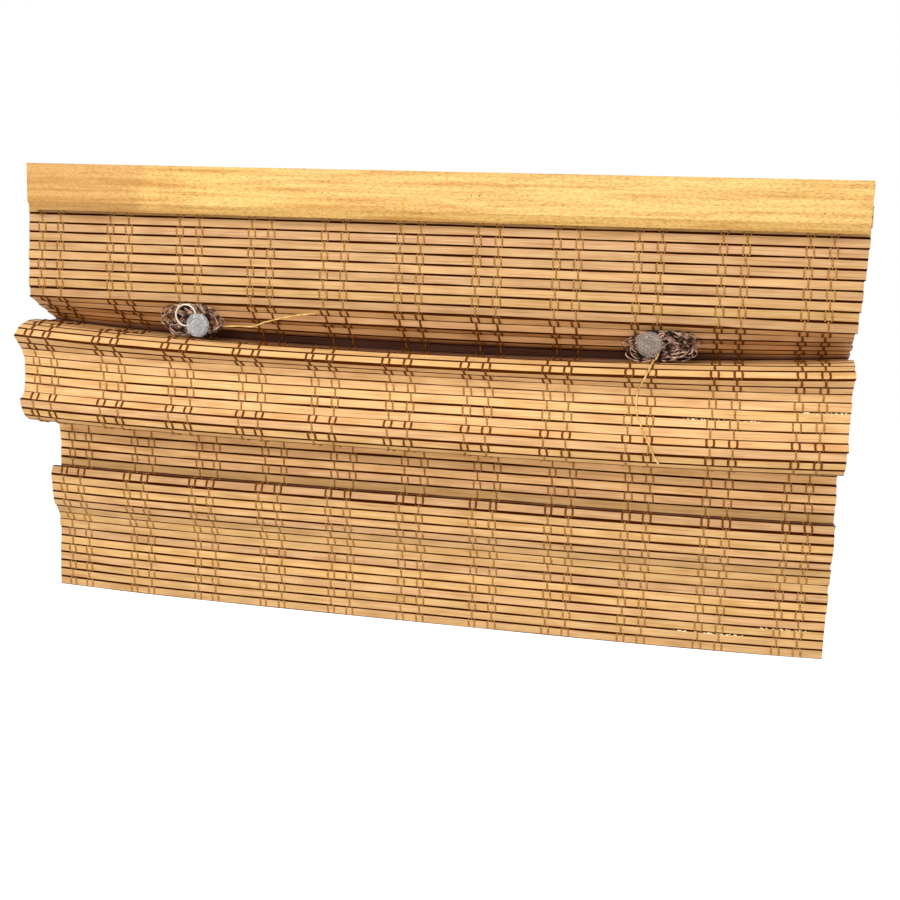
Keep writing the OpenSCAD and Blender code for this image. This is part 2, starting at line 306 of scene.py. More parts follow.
def bamboo_finish(colours):
    """Split bamboo, planed and stained: fine long fibres, a tone of its own on each slat, dark edges that
    are partly painted shade of the gaps, painted shade deep in the folds, painted light on the shaded back
    panel, and painted glints.
    """
    made, tree, shader = new_material("split_bamboo_planed_and_stained")
    place = add(tree, "ShaderNodeUVMap", uv_map="grain")
    parts = add(tree, "ShaderNodeSeparateXYZ", {0: place.outputs[0]})
    slat = add(tree, "ShaderNodeMath", {0: parts.outputs["Y"]}, operation="FLOOR")
    across = add(tree, "ShaderNodeMath", {0: parts.outputs["Y"]}, operation="FRACT")
    draw = add(tree, "ShaderNodeTexWhiteNoise", {"W": slat.outputs[0]}, noise_dimensions="1D")
    tone = add(tree, "ShaderNodeMix", {
        0: draw.outputs["Value"], 6: colours.bamboo_gold, 7: colours.bamboo_pink}, data_type="RGBA")
    # Fibres are about 0.15 mm wide and are drawn at 0.6 mm, so that they show
    fibre_place = add(tree, "ShaderNodeMapping", {
        "Vector": place.outputs[0], "Scale": grain_scale(60 * MM, 0.6 * MM)})
    fibre = add(tree, "ShaderNodeTexNoise", {
        "Vector": fibre_place.outputs[0], "Scale": 1.0, "Detail": 4.0, "Roughness": 0.6})
    pale = add(tree, "ShaderNodeValToRGB", {0: fibre.outputs[0]}, ramp=[(0.42, BLACK), (0.72, WHITE)])
    streaked = add(tree, "ShaderNodeMix", {
        0: pale.outputs[0], 6: tone.outputs[2], 7: colours.bamboo_pale}, data_type="RGBA")
    dark = add(tree, "ShaderNodeValToRGB", {0: fibre.outputs[0]},
               ramp=[(0.25, FIBRE_SHADE), (0.48, WHITE)])
    lined = add(tree, "ShaderNodeMix", {
        0: 1.0, 6: streaked.outputs[2], 7: dark.outputs[0]}, data_type="RGBA", blend_type="MULTIPLY")
    # Blotches left by the stain, about 30 mm long and 9 mm wide
    blotch_place = add(tree, "ShaderNodeMapping", {
        "Vector": place.outputs[0], "Scale": grain_scale(30 * MM, 9 * MM)})
    blotch = add(tree, "ShaderNodeTexNoise", {
        "Vector": blotch_place.outputs[0], "Scale": 1.0, "Detail": 3.0})
    stain = add(tree, "ShaderNodeValToRGB", {0: blotch.outputs[0]},
                ramp=[(0.35, BLOTCH_SHADE), (0.6, WHITE)])
    stained = add(tree, "ShaderNodeMix", {
        0: 1.0, 6: lined.outputs[2], 7: stain.outputs[0]}, data_type="RGBA", blend_type="MULTIPLY")
    # Dark edges, about 0.4 to 1 mm wide, wandering along the slat, partly stain and partly painted shade
    # of the gaps between slats
    centred = add(tree, "ShaderNodeMath", {0: across.outputs[0], 1: 0.5}, operation="SUBTRACT")
    reach = add(tree, "ShaderNodeMath", {0: centred.outputs[0]}, operation="ABSOLUTE")
    wander_place = add(tree, "ShaderNodeMapping", {
        "Vector": place.outputs[0], "Scale": grain_scale(90 * MM, SLAT_WIDTH)})
    wander = add(tree, "ShaderNodeTexNoise", {
        "Vector": wander_place.outputs[0], "Scale": 1.0, "Detail": 2.0})
    edge = add(tree, "ShaderNodeMath", {
        0: wander.outputs[0], 1: EDGE_WANDER, 2: reach.outputs[0]}, operation="MULTIPLY_ADD")
    rim = add(tree, "ShaderNodeMapRange", {
        "Value": edge.outputs[0], "From Min": EDGE_SETS_IN, "From Max": EDGE_FULL},
        interpolation_type="SMOOTHSTEP")
    finished = add(tree, "ShaderNodeMix", {
        0: rim.outputs[0], 6: stained.outputs[2], 7: colours.bamboo_edge}, data_type="RGBA")
    # Each slat's tone multiplies the colour: a tone of its own, with painted light on the shaded back
    # panel and painted shade in the pocket and deep in the tuck
    tone_attribute = add(tree, "ShaderNodeAttribute", attribute_name="tone_light_and_shade")
    toned_lit_and_shaded = add(tree, "ShaderNodeMix", {
        0: 1.0, 6: finished.outputs[2], 7: tone_attribute.outputs["Color"]}, data_type="RGBA",
        blend_type="MULTIPLY")
    # Where the painted shade is deepest, the hue turns redder
    warmth = add(tree, "ShaderNodeMapRange", {
        "Value": tone_attribute.outputs["Fac"], "From Min": SHADE_DEEP, "From Max": SHADE_PLAIN,
        "To Min": HUE_DEEP, "To Max": HUE_PLAIN})
    reddened = add(tree, "ShaderNodeHueSaturation", {
        "Hue": warmth.outputs[0], "Color": toned_lit_and_shaded.outputs[2]})
    # Painted glints, where light shows through a gap, in specks about 2 mm long and 1.2 mm wide along an
    # upper edge
    speck_place = add(tree, "ShaderNodeMapping", {
        "Vector": place.outputs[0], "Scale": grain_scale(2 * MM, 1.2 * MM)})
    speck = add(tree, "ShaderNodeTexNoise", {
        "Vector": speck_place.outputs[0], "Scale": 1.0, "Detail": 1.0})
    glints = add(tree, "ShaderNodeAttribute", attribute_name="glints")
    glinting = add(tree, "ShaderNodeMath", {
        0: speck.outputs[0], 1: glints.outputs["Fac"]}, operation="MULTIPLY")
    glint = add(tree, "ShaderNodeMapRange", {
        "Value": glinting.outputs[0], "From Min": GLINT_SETS_IN, "From Max": GLINT_FULL})
    glinted = add(tree, "ShaderNodeMix", {
        0: glint.outputs[0], 6: reddened.outputs[0], 7: colours.bamboo_glint}, data_type="RGBA")
    bump = add(tree, "ShaderNodeBump", {
        "Height": fibre.outputs[0], "Strength": 0.25, "Distance": 0.2 * MM})
    rough = add(tree, "ShaderNodeMapRange", {"Value": blotch.outputs[0], "To Min": 0.42, "To Max": 0.65})
    # Rough split edges and the painted shade of the folds give no shine
    shine = add(tree, "ShaderNodeMapRange", {"Value": rim.outputs[0], "To Min": SLAT_SHINE, "To Max": 0.0})
    dulled = add(tree, "ShaderNodeMath", {
        0: shine.outputs[0], 1: tone_attribute.outputs["Fac"]}, operation="MULTIPLY")
    plug(tree, shader, {
        "Base Color": glinted.outputs[2], "Roughness": rough.outputs[0], "Normal": bump.outputs[0],
        "IOR": 1.5, "Specular IOR Level": dulled.outputs[0]})
    return made


def spun_finish(name, low, high, ply, roughness, hollow_shade=0.36):
    """Spun thread or cord: short plies that run round it, with a painted highlight on top and painted
    shade in the hollows.
    """
    made, tree, shader = new_material(name)
    place = add(tree, "ShaderNodeTexCoord")
    plies = add(tree, "ShaderNodeTexNoise", {
        "Vector": place.outputs["Object"], "Scale": 1 / ply, "Detail": 2.0, "Roughness": 0.6})
    shade = add(tree, "ShaderNodeValToRGB", {0: plies.outputs[0]},
                ramp=[(hollow_shade, low), (PLY_HIGHLIGHT, high)])
    bump = add(tree, "ShaderNodeBump", {
        "Height": plies.outputs[0], "Strength": 0.5, "Distance": 0.2 * MM})
    plug(tree, shader, {
        "Base Color": shade.outputs[0], "Roughness": roughness, "Normal": bump.outputs[0],
        "Specular IOR Level": 0.15})
    return made


def pine_finish(colours):
    """Pine, planed and varnished: long soft grain, amber blotches, soil at the left end."""
    made, tree, shader = new_material("pine_planed_and_varnished")
    place = add(tree, "ShaderNodeTexCoord")
    # Growth lines are about 110 mm long and lie 4 mm apart
    grain_place = add(tree, "ShaderNodeMapping", {
        "Vector": place.outputs["Object"], "Scale": streak_scale(110 * MM, 4 * MM)})
    grain = add(tree, "ShaderNodeTexNoise", {
        "Vector": grain_place.outputs[0], "Scale": 1.0, "Detail": 5.0, "Roughness": 0.62,
        "Distortion": 0.4})
    lines = add(tree, "ShaderNodeValToRGB", {0: grain.outputs[0]},
                ramp=[(0.34, colours.pine_grain), (0.56, colours.pine)])
    # Fine fleck of the open pores, drawn 0.9 mm wide so that it shows
    fleck_place = add(tree, "ShaderNodeMapping", {
        "Vector": place.outputs["Object"], "Scale": streak_scale(3 * MM, 0.9 * MM)})
    fleck = add(tree, "ShaderNodeTexNoise", {
        "Vector": fleck_place.outputs[0], "Scale": 1.0, "Detail": 3.0})
    pores = add(tree, "ShaderNodeValToRGB", {0: fleck.outputs[0]},
                ramp=[(0.36, PORE_SHADE), (0.54, WHITE)])
    flecked = add(tree, "ShaderNodeMix", {
        0: 1.0, 6: lines.outputs[0], 7: pores.outputs[0]}, data_type="RGBA", blend_type="MULTIPLY")
    # Soil covers the left end, and its ragged border fades out over 70 mm
    parts = add(tree, "ShaderNodeSeparateXYZ", {0: place.outputs["Object"]})
    worn = add(tree, "ShaderNodeTexNoise", {
        "Vector": place.outputs["Object"], "Scale": 1 / (30 * MM), "Detail": 5.0, "Roughness": 0.65})
    ragged = add(tree, "ShaderNodeMath", {
        0: worn.outputs[0], 1: SOIL_RAGGED, 2: parts.outputs["X"]}, operation="MULTIPLY_ADD")
    end = add(tree, "ShaderNodeMapRange", {
        "Value": ragged.outputs[0], "From Min": RAIL_LOW.x + SOIL_FULL, "From Max": RAIL_LOW.x + SOIL_GONE,
        "To Min": SOIL_SHARE, "To Max": 0.0}, interpolation_type="SMOOTHSTEP")
    finished = add(tree, "ShaderNodeMix", {
        0: end.outputs[0], 6: flecked.outputs[2], 7: colours.pine_soil}, data_type="RGBA")
    bump = add(tree, "ShaderNodeBump", {
        "Height": grain.outputs[0], "Strength": 0.2, "Distance": 0.3 * MM})
    gloss = add(tree, "ShaderNodeMapRange", {"Value": worn.outputs[0], "To Min": 0.28, "To Max": 0.55})
    plug(tree, shader, {
        "Base Color": finished.outputs[2], "Roughness": gloss.outputs[0], "Normal": bump.outputs[0],
        "IOR": 1.5})
    return made


def steel_finish(colours):
    """Drawn and galvanised steel wire: dull grey with faint cloudy zinc."""
    made, tree, shader = new_material("steel_wire_drawn_and_galvanised")
    place = add(tree, "ShaderNodeTexCoord")
    cloud = add(tree, "ShaderNodeTexNoise", {
        "Vector": place.outputs["Object"], "Scale": 1 / (2 * MM), "Detail": 3.0})
    dull = add(tree, "ShaderNodeMapRange", {"Value": cloud.outputs[0], "To Min": 0.3, "To Max": 0.55})
    plug(tree, shader, {
        "Base Color": colours.steel, "Metallic": 1.0, "Roughness": dull.outputs[0]})
    return made


def clear_finish(name, tint, transmission):
    """Plastic, moulded and dulled by handling: smooth sink marks, with a soft haze in its gloss."""
    made, tree, shader = new_material(name)
    place = add(tree, "ShaderNodeTexCoord")
    scuff = add(tree, "ShaderNodeTexNoise", {
        "Vector": place.outputs["Object"], "Scale": 1 / (4 * MM), "Detail": 2.0})
    haze = add(tree, "ShaderNodeMapRange", {"Value": scuff.outputs[0], "To Min": 0.05, "To Max": 0.2})
    # Sink marks of the moulding, about 6 mm across
    sink = add(tree, "ShaderNodeTexNoise", {
        "Vector": place.outputs["Object"], "Scale": 1 / (6 * MM), "Detail": 1.0})
    bump = add(tree, "ShaderNodeBump", {
        "Height": sink.outputs[0], "Strength": 0.3, "Distance": 0.8 * MM})
    plug(tree, shader, {
        "Base Color": tint, "Transmission Weight": transmission, "Roughness": haze.outputs[0],
        "Normal": bump.outputs[0], "IOR": 1.42})
    return made


def finish_piece(piece, replaced):
    """Rides a finished piece on the shade and the nodes that it stands for."""
    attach(piece, "root")
    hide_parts(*replaced)


def dress_node(name, finish):
    """Gives a node of the construction its finish, and leaves its shape."""
    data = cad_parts[name].data
    data.materials.clear()
    data.materials.append(finish)


def curve_piece(name, routes, diameter, material, sides=1):
    """A curve object of open lines through route points, as round as its sides ask."""
    data = bpy.data.curves.new(name, "CURVE")
    data.dimensions = "3D"
    data.bevel_depth = diameter / 2
    data.bevel_resolution = sides
    data.use_fill_caps = True
    for route in routes:
        line = data.splines.new("POLY")
        line.points.add(len(route) - 1)
        for point, place in zip(line.points, route):
            point.co = (*place, 1.0)
        line.use_smooth = True
    data.materials.append(material)
    piece = bpy.data.objects.new(name, data)
    bpy.context.scene.collection.objects.link(piece)
    return piece


def smooth_route(route, steps):
    """Points along a smooth curve through a route's points."""
    made = []
    for k in range(len(route) - 1):
        a, b, c, d = (route[min(max(j, 0), len(route) - 1)] for j in (k - 1, k, k + 1, k + 2))
        for step in range(steps):
            f = step / steps
            made.append((2 * b + (c - a) * f + (2 * a - 5 * b + 4 * c - d) * f ** 2
                         + (3 * b - a - 3 * c + d) * f ** 3) / 2)
    return [*made, route[-1]]


# Camera at the photograph's place, in metres and degrees, with its lens and sensor in millimetres
CAMERA_PLACE = (0.2397, -0.9566, -0.0562)
CAMERA_TURN = (80.573, -1.924, 12.666)
CAMERA_LENS = 49.28
CAMERA_SENSOR = 36
CAMERA_NEAREST = 0.01
# Soft lamps: place and width in metres, power in watts
LAMPS = {
    "key": ((-0.3, -1.4, 0.7), 1.0, 25),
    "fill": ((0.9, -1.5, 0.2), 1.2, 7),
    "rear": ((0.3, 1.4, 0.8), 1.2, 9),
}
SURROUND_LIGHT = 0.42
FLOOR_REACH = 6
FLOOR_GLOW = 0.7


class SHADE_OT_stage(bpy.types.Operator):
    """Make the camera, the soft lamps, the white surround and the pale floor"""

    bl_idname = "shade.stage"
    bl_label = "Stage"

    def execute(self, context):
        sizes, colours = context.scene.shade_sizes, context.scene.shade_colours
        data = bpy.data.cameras.new("camera")
        data.lens = CAMERA_LENS
        data.sensor_width = CAMERA_SENSOR
        data.clip_start = CAMERA_NEAREST
        camera = bpy.data.objects.new("camera", data)
        camera.location = CAMERA_PLACE
        camera.rotation_euler = Euler([math.radians(a) for a in CAMERA_TURN])
        context.scene.collection.objects.link(camera)
        context.scene.camera = camera
        context.scene.view_settings.view_transform = "Standard"
        target = (CAD_BOX[0] + CAD_BOX[1]) / 2
        for name, (place, width, power) in LAMPS.items():
            self.lamp(name, Vector(place), target, width, power)
        self.surround()
        self.floor(sizes.floor_height, colours.floor)
        return {"FINISHED"}

    def lamp(self, name, place, target, width, power):
        """A square soft lamp turned to its target."""
        data = bpy.data.lights.new(name, "AREA")
        data.size = width
        data.energy = power
        lamp = bpy.data.objects.new(name, data)
        lamp.location = place
        lamp.rotation_euler = (target - place).to_track_quat("-Z", "Y").to_euler()
        bpy.context.scene.collection.objects.link(lamp)

    def surround(self):
        """A surround that looks white and lights the shade at a plain level."""
        world = bpy.data.worlds.new("white_surround")
        world.use_nodes = True
        tree = world.node_tree
        tree.nodes.clear()
        path = add(tree, "ShaderNodeLightPath")
        seen = add(tree, "ShaderNodeMath", {
            0: path.outputs["Is Camera Ray"], 1: path.outputs["Is Glossy Ray"]}, operation="MAXIMUM")
        shown = add(tree, "ShaderNodeMath", {
            0: seen.outputs[0], 1: path.outputs["Is Transmission Ray"]}, operation="MAXIMUM")
        level = add(tree, "ShaderNodeMapRange", {
            "Value": shown.outputs[0], "To Min": SURROUND_LIGHT, "To Max": 1.0})
        light = add(tree, "ShaderNodeBackground", {"Color": WHITE, "Strength": level.outputs[0]})
        add(tree, "ShaderNodeOutputWorld", {"Surface": light.outputs[0]})
        bpy.context.scene.world = world

    def floor(self, height, tint):
        """A pale floor that the camera sees a little brighter than it is lit."""
        bm = bmesh.new()
        bmesh.ops.create_grid(bm, x_segments=1, y_segments=1, size=FLOOR_REACH)
        bmesh.ops.translate(bm, vec=(0, 0, height), verts=bm.verts)
        data = bpy.data.meshes.new("floor")
        bm.to_mesh(data)
        bm.free()
        floor = bpy.data.objects.new("floor", data)
        bpy.context.scene.collection.objects.link(floor)
        made = bpy.data.materials.new("floor_painted_matt_white")
        made.use_nodes = True
        tree = made.node_tree
        tree.nodes.clear()
        path = add(tree, "ShaderNodeLightPath")
        paint = add(tree, "ShaderNodeBsdfDiffuse", {"Color": tint})
        glow = add(tree, "ShaderNodeEmission", {"Color": WHITE, "Strength": FLOOR_GLOW})
        lit = add(tree, "ShaderNodeAddShader", {0: paint.outputs[0], 1: glow.outputs[0]})
        mixed = add(tree, "ShaderNodeMixShader", {
            0: path.outputs["Is Camera Ray"], 1: paint.outputs[0], 2: lit.outputs[0]})
        add(tree, "ShaderNodeOutputMaterial", {"Surface": mixed.outputs[0]})
        data.materials.append(made)


# Middle of each tangle, its half reach, its height, and the phase that makes its loops its own
TANGLES = {
    "lift_cord_left": (-0.1975, 0.0255, 0.029, 0.7),
    "lift_cord_right": (0.193, 0.028, 0.0245, 2.9),
}
TANGLE_TURNS = 30
TANGLE_STEPS = 36
# Foremost place of the loops from the tuck's mouth, and the depth that they close in on
NEST_FRONT = -1 * MM
NEST_DEPTH = 14 * MM
# How far loops drift, swing in width, lean, climb and sink back, with the rate of each per radian wound
DRIFT, DRIFT_RATE = 0.4, 0.17
LOOP_WIDTH, WIDTH_SWING, WIDTH_RATE = 0.52, 0.13, 0.37
LEAN, LEAN_RATE = 0.6, 0.29
LOOP_RISE, CLIMB, CLIMB_RATE = 0.33, 0.16, 1.3
SINK, SINK_RATE = 0.36, 0.71
SETTLE, SETTLE_RATE = 0.14, 0.19
# A nest is widest just below half its height, and narrows above and below that
NEST_BELLY = 0.45
NEST_WIDEST = 1.08
NEST_TAPER = 1.2


def tangle_route(middle, reach, height, phase):
    """Loops of limp cord, dropped one over another in the mouth of the tuck like a nest."""
    made = []
    for k in range(TANGLE_TURNS * TANGLE_STEPS + 1):
        t = 2 * math.pi * k / TANGLE_STEPS
        wander = DRIFT_RATE * t + phase
        wide = LOOP_WIDTH + WIDTH_SWING * math.sin(WIDTH_RATE * t + phase)
        lean = LEAN * math.sin(LEAN_RATE * t + 2 * phase)
        rise = height * (0.5 + CLIMB * math.sin(CLIMB_RATE * wander) + LOOP_RISE * math.sin(t + lean))
        narrow = NEST_WIDEST - NEST_TAPER * (rise / height - NEST_BELLY) ** 2
        x = middle + reach * narrow * (DRIFT * math.cos(wander) + wide * math.cos(t))
        floor, mouth = crest_floor(x), tuck_mouth(x)
        room = tuck_face(x, floor + rise) - mouth
        back = NEST_DEPTH * (1 - math.exp(-room / NEST_DEPTH))
        share = 0.5 + SINK * math.sin(SINK_RATE * t + phase) + SETTLE * math.sin(SETTLE_RATE * t)
        made.append(Vector((x, mouth + NEST_FRONT + (back - NEST_FRONT) * share, floor + rise)))
    return made


class SHADE_OT_lift_cords(bpy.types.Operator):
    """Lay the two tangles of lift cord in the tuck, behind their discs"""

    bl_idname = "shade.lift_cords"
    bl_label = "Lift cords"

    def execute(self, context):
        sizes, colours = context.scene.shade_sizes, context.scene.shade_colours
        # The near-black cord colour and its wide dark share are painted shade inside the nests, and the
        # pale plies are painted highlights
        finish = spun_finish(
            "nylon_cord_braided_and_dyed", colours.cord, colours.cord_highlight, ply=5 * MM, roughness=0.5,
            hollow_shade=0.44)
        for name, shape in TANGLES.items():
            route = tangle_route(*shape)
            piece = curve_piece(name + "_loops", [route], sizes.cord_diameter, finish, sides=2)
            finish_piece(piece, [name])
        return {"FINISHED"}


# Route points of the straw ties in millimetres, from the tuck's mouth and the crest, or out of the mat
TIE_LEFT_X = (-170, -156, -142, -131, -116, -103, -88)
TIE_LEFT_Y = (7, 4, 1, -1, -2, -1.5, 2.2)
TIE_LEFT_Z = (11.5, 13, 14, 18.3, 22.7, 26, 28.2)
TIE_RIGHT_X = (191.5, 189.5, 188.5, 187, 184, 180.8, 178.5, 177.5, 177.4, 178.6, 182, 185, 189,
               193.5, 198)
TIE_RIGHT_OUT = (2.6, 2.8, 2.6, 2.6, 2.6, 1.8, 1.8, 1.6, 1.5, 1.5, 1.6, 2.2, 2.8, 3, 3)
# The right tie's first point stands in front of the tuck's mouth and above the crest, by its disc
TIE_START_Y = -3 * MM
TIE_START_Z = 7 * MM
# Least cosine in the mitre of a fold, so that a sharp fold doesn't throw the tie far out
MITRE_LEAST = 0.55
# Points from one route point to the next
TIE_STEPS = 6


def tie_left_route():
    """From the left tangle to the edge of the tuck."""
    return [Vector((x * MM, tuck_mouth(x * MM) + y * MM, crest_floor(x * MM) + z * MM))
            for x, y, z in zip(TIE_LEFT_X, TIE_LEFT_Y, TIE_LEFT_Z)]


def tie_right_route():
    """Out of the right tangle, over the crest and down the front panel to its loose end."""
    made = []
    for k, (x, out) in enumerate(zip(TIE_RIGHT_X, TIE_RIGHT_OUT)):
        joints, angles, _ = fold_line(x * MM)
        a, b = angles[SEAT + k - 1], angles[SEAT + k]
        mitre = max(MITRE_LEAST, math.cos((a - b) / 2))
        spot = joints[SEAT + k] + nearward((a + b) / 2) * out * MM / mitre
        made.append(Vector((x * MM, *spot)))
    start = TIE_RIGHT_X[0] * MM
    made[0] = Vector((start, tuck_mouth(start) + TIE_START_Y, crest_floor(start) + TIE_START_Z))
    return made


class SHADE_OT_ties(bpy.types.Operator):
    """Lay the two straw ties along their routes"""

    bl_idname = "shade.ties"
    bl_label = "Straw ties"

    def execute(self, context):
        sizes, colours = context.scene.shade_sizes, context.scene.shade_colours
        # The pine grain colour is painted shade in the hollows of the straw
        finish = spun_finish(
            "straw_dried_and_split", colours.pine_grain, colours.straw, ply=5 * MM, roughness=0.45)
        for name, route in (("tie_left", tie_left_route()), ("tie_right", tie_right_route())):
            path = smooth_route(route, TIE_STEPS)
            piece = curve_piece(name + "_straw", [path], sizes.tie_diameter, finish, sides=2)
            finish_piece(piece, [name])
        return {"FINISHED"}


def slat_blank(sizes):
    """A straight slat, rounded on its near edges and cut into stations."""
    bm = bmesh.new()
    bmesh.ops.create_cube(bm, size=1)
    bmesh.ops.scale(bm, vec=(MAT_LENGTH, SLAT_WIDTH, SLAT_THICKNESS), verts=bm.verts)
    bmesh.ops.translate(bm, vec=(MAT_MIDDLE, 0, 0), verts=bm.verts)
    near = [e for e in bm.edges if all(v.co.z > 0 for v in e.verts)
            and e.verts[0].co.y * e.verts[1].co.y > 0]
    bmesh.ops.bevel(bm, geom=near, offset=sizes.slat_round, offset_type="OFFSET", segments=2,
                    profile=0.5, affect="EDGES", material=-1)
    lengthways = [e for e in bm.edges if e.calc_length() > MAT_LENGTH / 2]
    bmesh.ops.subdivide_edges(bm, edges=lengthways, cuts=sizes.slat_stations - 1)
    blank = bpy.data.meshes.new("slat_blank")
    bm.to_mesh(blank)
    bm.free()
    return blank


# Tone of each run as a share of the fresh colour; the back panel's is painted light that lifts it above
# its fresh colour where it lies in shade
RUN_TONES_AND_LIGHT = {
    "rail": 0.8, "top_panel": 0.75, "tuck": 0.97, "crest": 0.96, "front_panel": 0.96, "return": 0.96,
    "back_panel": 1.18, "bottom_panel": 0.87}
# Slats in the pocket behind the bottom panel's fold and on its lip, darkened as painted shade
POCKET_SHADE = {
    FIRST["back_panel"] + 4: 0.72, FIRST["back_panel"] + 5: 0.15, FIRST["back_panel"] + 6: 0.15,
    FIRST["bottom_panel"]: 0.8}
# Places in the tuck further back than this are darkened as painted shade of the recess, in mid span and at
# the slats' ends
SHADE_DEPTH_IN_MIDDLE = 26 * MM
SHADE_DEPTH_AT_ENDS = 42 * MM
SHADE_FADE = 5 * MM
SHADE_TONE = 0.09


def tone_light_and_shade(run, number, place, near):
    """Share of the fresh colour left at a place on a run's slat, on its near or its far face, with painted
    light and shade in it.
    """
    tone = RUN_TONES_AND_LIGHT[run]
    if not near:
        return tone
    if run not in ("tuck", "crest"):
        return tone * POCKET_SHADE.get(number, 1)
    share = (place.x - MAT_MIDDLE) / MAT_LENGTH
    start = SHADE_DEPTH_IN_MIDDLE + (SHADE_DEPTH_AT_ENDS - SHADE_DEPTH_IN_MIDDLE) * min(1, 4 * share * share)
    deep = min(1, max(0, (place.y - start) / SHADE_FADE))
    return tone * (1 - deep * (1 - SHADE_TONE))


# Slats close up by this much where the mat is folded sharply
SHARP_FOLD = math.radians(50)
FOLD_CLOSE = 0.5 * MM
# Neighbours meet on their far edges, or on their near edges where the mat turns towards the viewer
NEAR_FOLD = math.radians(-3)
LAP = 0.08 * MM
# Painted glints, where light shows through a gap: the slats whose upper edge has one, and where each
# begins and ends
PAINTED_GLINTS = {
    FIRST["front_panel"] + 4: (0.3, 0.34), FIRST["front_panel"] + 5: (0.2, 0.28),
    FIRST["bottom_panel"] + 12: (0.27, 0.33), FIRST["bottom_panel"] + 13: (0.2, 0.28)}
# How each slat strays: its ends, its edges' waves and its stand in millimetres, and its tone
SLAT_SEED = 7000
END_STRAY = 0.7
WAVE_SIZES = (0.01, 0.05)
WAVE_RATES = (8, 45)
WAVE_TURNS = (0, 6.28)
STAND = 0.06
TONES = (0.9, 1.06)
# How much further right the top panel's upper slats reach, because the mat hangs askew
ASKEW = 5 * MM
# Share of a slat's width on its map that is kept clear of the next slat's
MAP_MARGIN = 0.01


class Slat:
    """One slat's own waver: where its ends and edges stray from straight, and how pale it is."""

    def __init__(self, number):
        draw = random.Random(SLAT_SEED + number)
        self.number = number
        self.shift = draw.uniform(-END_STRAY, END_STRAY) * MM
        self.waves = [[
            (draw.uniform(*WAVE_SIZES) * MM, draw.uniform(*WAVE_RATES), draw.uniform(*WAVE_TURNS))
            for _ in range(3)] for _ in range(2)]
        self.lift = draw.uniform(-STAND, STAND) * MM
        self.tone = draw.uniform(*TONES)
        above_tuck = (FIRST["tuck"] - number) / len(FOLDS_AT_ENDS["top_panel"])
        self.reach = ASKEW * min(1, max(0, above_tuck))

    def edge(self, side, x):
        """How far an edge stands in from straight at x."""
        return sum(size * (1 + math.sin(rate * x + turn)) / 2 for size, rate, turn in self.waves[side])

    def glinting(self, x):
        """Whether a painted glint lies along the upper edge at x."""
        low, high = PAINTED_GLINTS.get(self.number, (1, 1))
        return low < x < high

    def place(self, point, gap):
        """Takes a point of the straight blank to the folded mat, and gives its share across the slat."""
        x = point.x + self.shift + self.reach * max(0, point.x - MAT_MIDDLE) / (MAT_LENGTH / 2)
        joints, angles, gaps = fold_line(point.x)
        k = self.number
        angle = angles[k]
        rooms = []
        for side, j in enumerate((k, k + 1)):
            if not 0 < j < SLAT_COUNT:
                rooms.append(0)
                continue
            turn = angles[j] - angles[j - 1]
            spare = (gaps[j] - SLAT_THICKNESS * math.tan(abs(turn) / 2)) / 2
            if abs(turn) > SHARP_FOLD:
                rooms.append(FOLD_CLOSE)
            elif (point.z > 0) == (turn < NEAR_FOLD):
                rounding = EDGE_ROUND * math.tan(abs(turn) / 2) if turn < NEAR_FOLD else 0
                rooms.append(spare + LAP + rounding)
            else:
                rooms.append(spare - gap / 2 - self.edge(side, x))
        top = -SLAT_WIDTH / 2 - rooms[0]
        low = SLAT_WIDTH / 2 + rooms[1]
        share = point.y / SLAT_WIDTH + 0.5
        centre = joints[k] + along(angle) * (gaps[k] / 2 + SLAT_WIDTH / 2)
        spot = centre + along(angle) * (top + (low - top) * share)
        spot += nearward(angle) * (point.z + self.lift)
        return Vector((x, *spot)), share


class SHADE_OT_slats(bpy.types.Operator):
    """Cut and lay the bamboo slats, run by run"""

    bl_idname = "shade.slats"
    bl_label = "Bamboo slats"

    def execute(self, context):
        sizes, colours = context.scene.shade_sizes, context.scene.shade_colours
        finish = bamboo_finish(colours)
        blank = slat_blank(sizes)
        for run in RUNS:
            bm = bmesh.new()
            grain = bm.loops.layers.uv.new("grain")
            tone = bm.verts.layers.float.new("tone_light_and_shade")
            glints = bm.verts.layers.float.new("glints")
            for number in range(FIRST[run], FIRST[run] + len(FOLDS_AT_ENDS[run])):
                self.lay(bm, grain, tone, glints, run, blank, Slat(number), sizes.slat_edge_gap)
            data = bpy.data.meshes.new("slats_" + run)
            bm.to_mesh(data)
            bm.free()
            data.materials.append(finish)
            piece = bpy.data.objects.new("bamboo_" + run, data)
            context.scene.collection.objects.link(piece)
            finish_piece(piece, ["slats_" + run])
        bpy.data.meshes.remove(blank)
        return {"FINISHED"}

    def lay(self, bm, grain, tone, glints, run, blank, slat, gap):
        """Lays one slat in its place in a run, with its map, its tone with painted light and shade, and
        its painted glints.
        """
        before = len(bm.verts), len(bm.faces)
        bm.from_mesh(blank)
        bm.verts.ensure_lookup_table()
        bm.faces.ensure_lookup_table()
        shares = {}
        for vert in bm.verts[before[0]:]:
            near = vert.co.z > 0
            vert.co, shares[vert] = slat.place(vert.co.copy(), gap)
            vert[tone] = tone_light_and_shade(run, slat.number, vert.co, near) * slat.tone
            vert[glints] = float(slat.glinting(vert.co.x) and shares[vert] < 0.5)
        for face in bm.faces[before[1]:]:
            face.smooth = False
            for loop in face.loops:
                across = MAP_MARGIN + (1 - 2 * MAP_MARGIN) * shares[loop.vert]
                loop[grain].uv = (loop.vert.co.x, slat.number + across)


